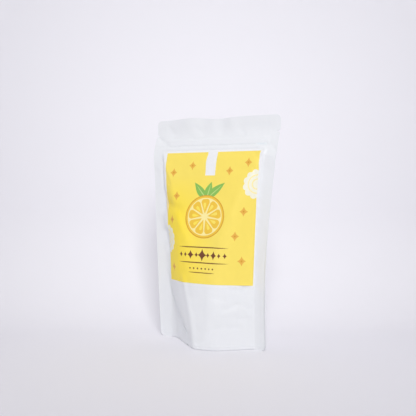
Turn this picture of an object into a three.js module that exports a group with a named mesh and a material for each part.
// A resealable stand-up pouch of matte white film, standing filled and closed.
// Millimetres, +Z up. The front faces -Y. The origin is on the ground under the middle of the pouch.
//
// Every piece of film is laid out in three values: `across`, measured along the film from the
// pouch's centre line, `height`, and `out`, how far it stands from the pouch's middle surface.
// Film doesn't stretch, so the fuller the pouch is at a height, the narrower it is there.
import * as THREE from 'three';

// Driving dimensions
const WIDTH = 119;
const HEIGHT = 196;
const SIDE_SEAL = 9;
const HEM = 3;
const BASE_DEPTH = 48;
const GUSSET_RISE = 46;
const ZIP_HEIGHT = 171;
const NOTCH_HEIGHT = 182;
const LABEL_WIDTH = 93.5;
const LABEL_BOTTOM = 52;
const LABEL_SHIFT = 0.7;
const LABEL_SKEW = 2.2;
const SLICE_SPAN = 32;

// Film, label and gaps
const FILM = 0.5;
const GUSSET_FILM = 0.35;
const LABEL_FILM = 0.3;
const HALF_GAP = 0.15;
const GUSSET_GAP = 0.3;
const FOLD_HALF_GAP = 0.3;
const LABEL_GAP = 0.3;

// Outline
const HALF_WIDTH = WIDTH / 2;
const REACH = HALF_WIDTH - SIDE_SEAL;
const CORNER_RADIUS = 4;
const CORNER_ZONE = 8;
const NOTCH_DEPTH = 2.8;
const NOTCH_HALF_HEIGHT = 1.3;
const ROW_ARCH = 1;
const TOP_WAVE = 1.2;
const TOP_WAVE_CREST = -28;
const TOP_WAVE_LENGTH = 66;
const TOP_WAVE_MIDDLE = -12;
const TOP_WAVE_SPREAD = 30;
const TOP_WAVE_ZONE = 14;

// Filled form
const FILL_TOP = ZIP_HEIGHT - 3;
const FILL_TAPER = 2;
const WELD_CURVE = 1.6;
const OVERHANG_RISE = 11;
const FULLNESS = 1.3;
const FLANK_RUN = 2.1;
const TAKE_UP = 0.36;
const PEAK_SHIFT = 8;
const PEAK_SHIFT_TOP = 130;

// Lean of the middle surface, and the header's waves
const FORWARD_LEAN = 3.5;
const LEAN_TOP = 150;
const HEADER_LEAN = 7.5;
const HEADER_LEAN_START = 156;
const HEADER_LEAN_RISE = 32;
const HEADER_SHIFT = 1;
const WAVE_DEPTH = 0.9;
const WAVE_LENGTH = 22;
const WAVE_MIDDLE = 5.5;
const WAVE_SPREAD = 15;
const WAVE_START = ZIP_HEIGHT + 5;
const WAVE_RISE = 12;

// The base is pushed forward and outward from its left seal on, least of all at the left
const BASE_SWING = 5.6;
const SWING_TURN = THREE.MathUtils.degToRad(27);
const SWING_SPAN = 80;
const SWING_TOP = 110;

// Dent in the front's left flank
const DENT_FROM = new THREE.Vector2(-47, 128);
const DENT_TO = new THREE.Vector2(-33, 98);
const DENT_DEPTH = 2.2;
const DENT_SPREAD = 5;

// Zip: two strips, each a flange with the tongue or the groove on it
const FLANGE_HALF_HEIGHT = 5;
const FLANGE_ROOM = 0.75;
const RIB_ROOM = 0.9;
const RIB_HALF_HEIGHT = 2.2;
const ZIP_RAMP = 1.4;
const ZIP_ROOM_END = REACH - 1.5;
const ZIP_HALF_LENGTH = REACH - 2.2;
const LABEL_TOP = ZIP_HEIGHT - RIB_HALF_HEIGHT - ZIP_RAMP;
const ZIP_STEP = 25;

// The strips' sections, as [height from the zip's centre, out]
const TONGUE_SECTION = [
  [-5, 0.2], [-1.95, 0.2], [-1.9, 1], [-0.5, 1], [-0.5, -0.6], [0.5, -0.6], [0.5, 1], [1.9, 1],
  [1.95, 0.2], [5, 0.2], [5, 0.6], [2.3, 0.6], [1.9, 1.5], [-1.9, 1.5], [-2.3, 0.6], [-5, 0.6],
];
const GROOVE_SECTION = [
  [-5, -0.6], [-2.3, -0.6], [-1.9, -1.5], [1.9, -1.5], [2.3, -0.6], [5, -0.6], [5, -0.2],
  [1.6, -0.2], [1.6, 0.6], [0.8, 0.6], [0.8, -1], [-0.8, -1], [-0.8, 0.6], [-1.6, 0.6],
  [-1.6, -0.2], [-5, -0.2],
];

// Bottom gusset
const GUSSET_HALF_WIDTH = REACH + 4;
const GUSSET_EDGE = 0.4;
const SKIRT_STEPS = 3;
const FLOOR_STEPS = 6;
const FLOOR_SAG = 1.4;
const SAMPLE = 0.2;

// Longest steps of the film's grid
const COLUMN_STEP = 5.8;
const ROW_STEP = 9;

// Contents: dried star fruit slices, some on edge in the base and two leaning stacks above them
const SLICE_THICKNESS = 3;
const SLICE_VALLEY = 0.45;
const SLICE_POINTS = 5;
const SLICE_OUTLINE_POINTS = 20;
const EDGE_SLICES = 5;
const EDGE_SLICE_PITCH = 4.4;
const EDGE_SLICE_HEIGHT = 25.5;
const STACK_SLICES = 8;
const STACK_PITCH = 7.6;
const STACK_BOTTOM = 56;
const STACK_OFFSET = 16.4;
const STACK_TILT = THREE.MathUtils.degToRad(28);
const SPIN_SEED = 7;

const film = { color: 0xe9ecf0, roughness: 0.55, metalness: 0 };
const labelPaper = { color: 0xf7dc76, roughness: 0.6, metalness: 0 };
const zipPlastic = { color: 0xeef0f2, roughness: 0.4, metalness: 0 };
const driedFruit = { color: 0xd9a441, roughness: 0.8, metalness: 0 };

function clamp01(value) {
  return Math.min(Math.max(value, 0), 1);
}

function smooth(value) {
  const t = clamp01(value);
  return t * t * (3 - 2 * t);
}

// 1 inside a band, falling to 0 over `ramp` beyond it.
function band(distance, halfHeight, ramp) {
  return 1 - smooth((Math.abs(distance) - halfHeight) / ramp);
}

// How far the filled pouch stands out at its middle.
function peak(height) {
  return (BASE_DEPTH / 2) * (1 - Math.min(height / FILL_TOP, 1) ** FILL_TAPER);
}

// The fill sits to the right of the centre line, most of all around the label's lower edge.
function peakShift(height) {
  return PEAK_SHIFT * Math.sin(Math.PI * clamp01(height / PEAK_SHIFT_TOP));
}

// How far down a flank a place is: 0 on the flat middle, 1 at the side seal. The less a panel
// stands out, the narrower its flanks are.
function flankShare(across, height) {
  const shift = peakShift(height);
  const length = across < shift ? REACH + shift : REACH - shift;
  const width = Math.max(Math.min(FLANK_RUN * peak(height), length), SAMPLE);
  return clamp01(1 - (length - Math.abs(across - shift)) / width);
}

// The arc along which the gusset is welded to a panel.
function weldHeight(across) {
  const share = Math.min(Math.abs(across) / REACH, 1);
  return HEM + (GUSSET_RISE - HEM) * share ** WELD_CURVE;
}

// A panel's bulge. On the left it is a bell below the weld arc, and a fuller form overhangs it
// above. The right half is full down to the ground.
function bulge(across, height) {
  const cosine = Math.max(Math.cos((Math.PI / 2) * flankShare(across, height)), 0);
  const full = cosine ** FULLNESS;
  if (across > peakShift(height)) {
    return peak(height) * full;
  }
  const bell = cosine ** 2;
  const rise = 1 - (1 - clamp01((height - weldHeight(across)) / OVERHANG_RISE)) ** 2;
  return peak(height) * (bell + (full - bell) * rise);
}

function zipRoom(across, height) {
  const end = 1 - clamp01((Math.abs(across) - ZIP_ROOM_END) / (REACH - ZIP_ROOM_END));
  const offset = height - ZIP_HEIGHT;
  const flange = FLANGE_ROOM * band(offset, FLANGE_HALF_HEIGHT, ZIP_RAMP);
  const rib = RIB_ROOM * band(offset, RIB_HALF_HEIGHT, ZIP_RAMP);
  return end * (flange + rib);
}

function gussetRoom(height) {
  const needed = FOLD_HALF_GAP + GUSSET_FILM + GUSSET_GAP - HALF_GAP;
  return needed * (1 - smooth((height - GUSSET_RISE - 2) / 6));
}

function dent(across, height) {
  const point = new THREE.Vector2(across, height);
  const along = DENT_TO.clone().sub(DENT_FROM);
  const share = clamp01(point.clone().sub(DENT_FROM).dot(along) / along.lengthSq());
  const distance = point.distanceTo(DENT_FROM.clone().addScaledVector(along, share));
  return DENT_DEPTH * Math.exp(-((distance / DENT_SPREAD) ** 2));
}

// Distance of a panel's inner skin from the middle surface.
function panelOut(across, height) {
  return HALF_GAP + Math.hypot(bulge(across, height), zipRoom(across, height), gussetRoom(height));
}

function frontOut(across, height) {
  const flat = HALF_GAP + Math.hypot(zipRoom(across, height), gussetRoom(height));
  return Math.max(panelOut(across, height) - dent(across, height), flat);
}

function lean(height) {
  const forward = FORWARD_LEAN * Math.sin(Math.PI * clamp01(height / LEAN_TOP));
  return HEADER_LEAN * smooth((height - HEADER_LEAN_START) / HEADER_LEAN_RISE) - forward;
}

function headerWave(across, height) {
  const fade = Math.exp(-(((across - WAVE_MIDDLE) / WAVE_SPREAD) ** 2));
  const wave = Math.cos((2 * Math.PI * (across - WAVE_MIDDLE)) / WAVE_LENGTH);
  return WAVE_DEPTH * wave * fade * smooth((height - WAVE_START) / WAVE_RISE);
}

// How far the push on the base moves a place, as a level vector.
function swing(across, height) {
  const share = smooth((across + REACH) / SWING_SPAN) * (1 - smooth(height / SWING_TOP));
  const length = BASE_SWING * share;
  return new THREE.Vector3(Math.sin(SWING_TURN), -Math.cos(SWING_TURN), 0).multiplyScalar(length);
}

// Film place to a point in space. `out` is positive towards the front.
function place(across, height, out) {
  const taken = TAKE_UP * peak(height) * flankShare(across, height);
  const headerShift = HEADER_SHIFT * smooth((height - NOTCH_HEIGHT + 5) / 7);
  const x = across - Math.sign(across - peakShift(height)) * taken + headerShift;
  const y = lean(height) + headerWave(across, height) - out;
  return new THREE.Vector3(x, y, height).add(swing(across, height));
}

// Levels with no step between them longer than `longest`.
function steps(levels, longest) {
  const values = [levels[0]];
  for (let i = 1; i < levels.length; i += 1) {
    const start = levels[i - 1];
    const count = Math.ceil(Math.abs(levels[i] - start) / longest - 1e-6);
    for (let k = 1; k <= count; k += 1) {
      values.push(start + ((levels[i] - start) * k) / count);
    }
  }
  return values;
}

// Lift of the top edge, which isn't quite straight.
function topWave(across, height) {
  const fade = Math.exp(-(((across - TOP_WAVE_MIDDLE) / TOP_WAVE_SPREAD) ** 2));
  const wave = Math.cos((2 * Math.PI * (across - TOP_WAVE_CREST)) / TOP_WAVE_LENGTH);
  return TOP_WAVE * wave * fade * smooth((height - HEIGHT + TOP_WAVE_ZONE) / TOP_WAVE_ZONE);
}

// The panels' columns follow the label, which sits a little to the right, its lower edge most.
function skewed(column, height) {
  const drop = clamp01((LABEL_TOP - height) / (LABEL_TOP - LABEL_BOTTOM));
  const hold = clamp01((REACH - Math.abs(column)) / (REACH - LABEL_WIDTH / 2));
  return column + (LABEL_SHIFT + LABEL_SKEW * drop) * hold;
}

// The middle of the film follows the bulge, so its rows ride higher there.
function rowArch(across, height) {
  const below = smooth((height - HEM) / (LABEL_BOTTOM - HEM));
  const above = clamp01((LABEL_TOP - height) / (LABEL_TOP - LABEL_BOTTOM));
  return ROW_ARCH * below * above * Math.cos((Math.PI / 2) * flankShare(across, height)) ** 2;
}

// Outline of a panel: rounded corners, a wavy top edge, and a tear notch in each side.
function trimmed(across, height) {
  const side = Math.sign(across);
  const beyond = Math.abs(across) - (HALF_WIDTH - CORNER_RADIUS);
  const inset = beyond > 0 ? CORNER_RADIUS - Math.sqrt(CORNER_RADIUS ** 2 - beyond ** 2) : 0;
  const squeeze = (CORNER_ZONE - inset) / CORNER_ZONE;
  let trimmedHeight = height;
  if (height < CORNER_ZONE) {
    trimmedHeight = inset + height * squeeze;
  }
  if (height > HEIGHT - CORNER_ZONE) {
    trimmedHeight = HEIGHT - inset - (HEIGHT - height) * squeeze;
  }
  trimmedHeight += topWave(across, height) + rowArch(across, height);
  const notched = beyond > 0 && height === NOTCH_HEIGHT;
  const notchInset = notched ? (NOTCH_DEPTH * beyond) / CORNER_RADIUS : 0;
  return [across - side * notchInset, trimmedHeight];
}

// Unit normals of a grid of points, towards the side from which it runs to the right and up.
function gridNormals(grid) {
  const lastRow = grid.length - 1;
  const lastColumn = grid[0].length - 1;
  return grid.map((row, i) => row.map((point, j) => {
    const right = row[Math.min(j + 1, lastColumn)].clone().sub(row[Math.max(j - 1, 0)]);
    const up = grid[Math.min(i + 1, lastRow)][j].clone().sub(grid[Math.max(i - 1, 0)][j]);
    return right.cross(up).normalize();
  }));
}

function moved(grid, normals, distance) {
  return grid.map((row, i) => row.map((point, j) => (
    point.clone().addScaledVector(normals[i][j], distance)
  )));
}

// Keeps the top and bottom edges of a moved grid level.
function levelEnds(normals) {
  for (const row of [normals[0], normals[normals.length - 1]]) {
    for (const normal of row) {
      normal.setZ(0).normalize();
    }
  }
  return normals;
}

// A closed thin solid between two grids of points. `outer` lies on the side that the grids'
// normals point to. All grids run the same way across, so facing skins are split alike.
function shellGeometry(inner, outer) {
  const rows = inner.length;
  const columns = inner[0].length;
  const positions = [...inner.flat(), ...outer.flat()].flatMap((point) => point.toArray());
  const faces = [];
  const innerAt = (i, j) => i * columns + j;
  const outerAt = (i, j) => rows * columns + innerAt(i, j);
  const quad = (a, b, c, d) => faces.push(a, b, c, a, c, d);
  for (let i = 0; i < rows - 1; i += 1) {
    for (let j = 0; j < columns - 1; j += 1) {
      quad(outerAt(i, j), outerAt(i, j + 1), outerAt(i + 1, j + 1), outerAt(i + 1, j));
      faces.push(innerAt(i, j), innerAt(i + 1, j + 1), innerAt(i, j + 1));
      faces.push(innerAt(i, j), innerAt(i + 1, j), innerAt(i + 1, j + 1));
    }
  }
  for (let j = 0; j < columns - 1; j += 1) {
    const top = rows - 1;
    quad(innerAt(0, j), innerAt(0, j + 1), outerAt(0, j + 1), outerAt(0, j));
    quad(outerAt(top, j), outerAt(top, j + 1), innerAt(top, j + 1), innerAt(top, j));
  }
  for (let i = 0; i < rows - 1; i += 1) {
    const right = columns - 1;
    quad(innerAt(i, 0), outerAt(i, 0), outerAt(i + 1, 0), innerAt(i + 1, 0));
    quad(outerAt(i, right), innerAt(i, right), innerAt(i + 1, right), outerAt(i + 1, right));
  }
  const geometry = new THREE.BufferGeometry();
  geometry.setAttribute('position', new THREE.Float32BufferAttribute(positions, 3));
  geometry.setIndex(faces);
  geometry.computeVertexNormals();
  return geometry;
}

function addPiece(parent, name, geometry, finish) {
  const mesh = new THREE.Mesh(geometry, new THREE.MeshStandardMaterial(finish));
  mesh.name = name;
  parent.add(mesh);
  return mesh;
}

const labelHalf = LABEL_WIDTH / 2;
const cornerColumns = [HALF_WIDTH - CORNER_RADIUS, HALF_WIDTH - 2, HALF_WIDTH - 0.7, HALF_WIDTH];
const sideColumns = [labelHalf, ZIP_ROOM_END, REACH, ...cornerColumns];
const columnLevels = [...sideColumns.map((value) => -value).reverse(), ...sideColumns];
const columns = steps(columnLevels, COLUMN_STEP);
const zipLevels = [
  FLANGE_HALF_HEIGHT + ZIP_RAMP,
  FLANGE_HALF_HEIGHT,
  RIB_HALF_HEIGHT + ZIP_RAMP,
  RIB_HALF_HEIGHT,
];
const headerLevels = [
  ...zipLevels.map((value) => ZIP_HEIGHT - value),
  ...zipLevels.map((value) => ZIP_HEIGHT + value).reverse(),
  NOTCH_HEIGHT - NOTCH_HALF_HEIGHT,
  NOTCH_HEIGHT,
  NOTCH_HEIGHT + NOTCH_HALF_HEIGHT,
  HEIGHT,
];
const bodyLevels = [0, HEM, CORNER_ZONE, LABEL_BOTTOM, HEADER_LEAN_START];
const rows = steps([...bodyLevels, ...headerLevels], ROW_STEP);

function panelGrid(outOf, side) {
  return rows.map((row) => columns.map((column) => {
    const [across, height] = trimmed(skewed(column, row), row);
    return place(across, height, side * outOf(across, height));
  }));
}

// Front and back panels
function buildPanels(parent) {
  const front = panelGrid(frontOut, 1);
  const frontNormals = levelEnds(gridNormals(front));
  const frontSkin = moved(front, frontNormals, FILM);
  addPiece(parent, 'front_panel', shellGeometry(front, frontSkin), film);

  const back = panelGrid(panelOut, -1);
  const backSkin = moved(back, levelEnds(gridNormals(back)), -FILM);
  addPiece(parent, 'back_panel', shellGeometry(backSkin, back), film);
  return { frontSkin, frontNormals };
}

// The label lies on the front panel, between two of its columns and two of its rows.
function buildLabel(parent, { frontSkin, frontNormals }) {
  const first = columns.indexOf(-labelHalf);
  const last = columns.indexOf(labelHalf);
  const bottom = rows.indexOf(LABEL_BOTTOM);
  const top = rows.indexOf(LABEL_TOP);
  const cut = (grid) => grid.slice(bottom, top + 1).map((row) => row.slice(first, last + 1));
  const normals = cut(frontNormals);
  const underside = moved(cut(frontSkin), normals, LABEL_GAP);
  const face = moved(underside, normals, LABEL_FILM);
  addPiece(parent, 'label', shellGeometry(underside, face), labelPaper);
}

// The bottom gusset runs up inside the front panel to the weld arc, crosses to the back panel's
// arc as the pouch's floor, and runs down again. At the side seals it is folded flat.
function skirtPoint(across, height, side) {
  const at = (a, h) => place(a, h, side * panelOut(a, h));
  const right = at(across + SAMPLE, height).sub(at(across - SAMPLE, height));
  const up = at(across, height + SAMPLE).sub(at(across, height - SAMPLE));
  const normal = right.cross(up).normalize().multiplyScalar(side);
  return at(across, height).addScaledVector(normal, -GUSSET_GAP - GUSSET_FILM);
}

function gussetLine(across) {
  const weld = weldHeight(across);
  const heights = Array.from({ length: SKIRT_STEPS + 1 }, (_, k) => (
    GUSSET_EDGE + ((weld - GUSSET_EDGE) * k) / SKIRT_STEPS
  ));
  const frontSkirt = heights.map((height) => skirtPoint(across, height, 1));
  const backSkirt = heights.map((height) => skirtPoint(across, height, -1)).reverse();
  const floor = [];
  for (let k = 1; k < FLOOR_STEPS; k += 1) {
    const share = k / FLOOR_STEPS;
    const point = frontSkirt[SKIRT_STEPS].clone().lerp(backSkirt[0], share);
    const sag = FLOOR_SAG * (1 - Math.min(Math.abs(across) / REACH, 1));
    point.z -= sag * Math.sin(Math.PI * share);
    floor.push(point);
  }
  return [...frontSkirt, ...floor, ...backSkirt];
}

function buildGusset(parent) {
  const inner = columns.filter((column) => Math.abs(column) <= REACH);
  const leaning = [-GUSSET_HALF_WIDTH, ...inner, GUSSET_HALF_WIDTH].map((a) => skewed(a, 0));
  const lines = leaning.map(gussetLine);
  const grid = lines[0].map((_, i) => lines.map((line) => line[i]));
  const top = moved(grid, gridNormals(grid), GUSSET_FILM);
  addPiece(parent, 'bottom_gusset', shellGeometry(grid, top), film);
}

// A zip strip is its section run across the pouch.
function stripGeometry(section) {
  const stations = steps([-ZIP_HALF_LENGTH, ZIP_HALF_LENGTH], ZIP_STEP);
  const positions = [];
  const faces = [];
  const count = section.length;
  for (const across of stations) {
    for (const [rise, out] of section) {
      positions.push(...place(across, ZIP_HEIGHT + rise, out).toArray());
    }
  }
  for (let i = 0; i < stations.length - 1; i += 1) {
    for (let j = 0; j < count; j += 1) {
      const next = (j + 1) % count;
      const [a, b] = [i * count + j, i * count + next];
      faces.push(a, b, b + count, a, b + count, a + count);
    }
  }
  const outline = section.map(([rise, out]) => new THREE.Vector2(rise, out));
  const last = (stations.length - 1) * count;
  for (const [a, b, c] of THREE.ShapeUtils.triangulateShape(outline, [])) {
    faces.push(a, c, b, last + a, last + b, last + c);
  }
  const geometry = new THREE.BufferGeometry();
  geometry.setAttribute('position', new THREE.Float32BufferAttribute(positions, 3));
  geometry.setIndex(faces);
  geometry.computeVertexNormals();
  return geometry;
}

function buildZip(parent) {
  addPiece(parent, 'zip_tongue_strip', stripGeometry(TONGUE_SECTION), zipPlastic);
  addPiece(parent, 'zip_groove_strip', stripGeometry(GROOVE_SECTION), zipPlastic);
}

// Small repeatable random numbers between 0 and 1.
function randomSource(seed) {
  let state = seed;
  return () => {
    state = (state * 16807) % 2147483647;
    return state / 2147483647;
  };
}

function sliceGeometry() {
  const outline = Array.from({ length: SLICE_OUTLINE_POINTS }, (_, k) => {
    const angle = (2 * Math.PI * k) / SLICE_OUTLINE_POINTS;
    const point = (0.5 + 0.5 * Math.cos(SLICE_POINTS * angle)) ** 0.8;
    const radius = (SLICE_SPAN / 2) * (SLICE_VALLEY + (1 - SLICE_VALLEY) * point);
    return new THREE.Vector2(radius * Math.cos(angle), radius * Math.sin(angle));
  });
  const options = { depth: SLICE_THICKNESS, bevelEnabled: false };
  const geometry = new THREE.ExtrudeGeometry(new THREE.Shape(outline), options);
  geometry.translate(0, 0, -SLICE_THICKNESS / 2);
  return geometry;
}

function buildContents(parent) {
  const random = randomSource(SPIN_SEED);
  const geometry = sliceGeometry();
  let number = 0;
  const addSlice = (x, height, turnX, turnY) => {
    number += 1;
    const name = `fruit_slice_${String(number).padStart(2, '0')}`;
    const slice = addPiece(parent, name, geometry, driedFruit);
    slice.position.set(x, lean(height), height).add(swing(x, height));
    const spin = (random() * 2 * Math.PI) / SLICE_POINTS;
    slice.rotation.set(turnX, turnY, spin, 'XYZ');
  };
  for (let k = 0; k < EDGE_SLICES; k += 1) {
    const x = (k - (EDGE_SLICES - 1) / 2) * EDGE_SLICE_PITCH;
    addSlice(x, EDGE_SLICE_HEIGHT, 0, Math.PI / 2);
  }
  for (let k = 0; k < STACK_SLICES; k += 1) {
    for (const side of [-1, 1]) {
      addSlice(side * STACK_OFFSET, STACK_BOTTOM + k * STACK_PITCH, Math.PI / 2 + side * STACK_TILT, 0);
    }
  }
}

const pouch = new THREE.Group();
const panels = buildPanels(pouch);
buildLabel(pouch, panels);
buildGusset(pouch);
buildZip(pouch);
buildContents(pouch);

// The origin goes under the middle of the pouch's outer size.
const middle = new THREE.Box3().setFromObject(pouch).getCenter(new THREE.Vector3());
pouch.position.set(-middle.x, -middle.y, 0);

export default pouch;
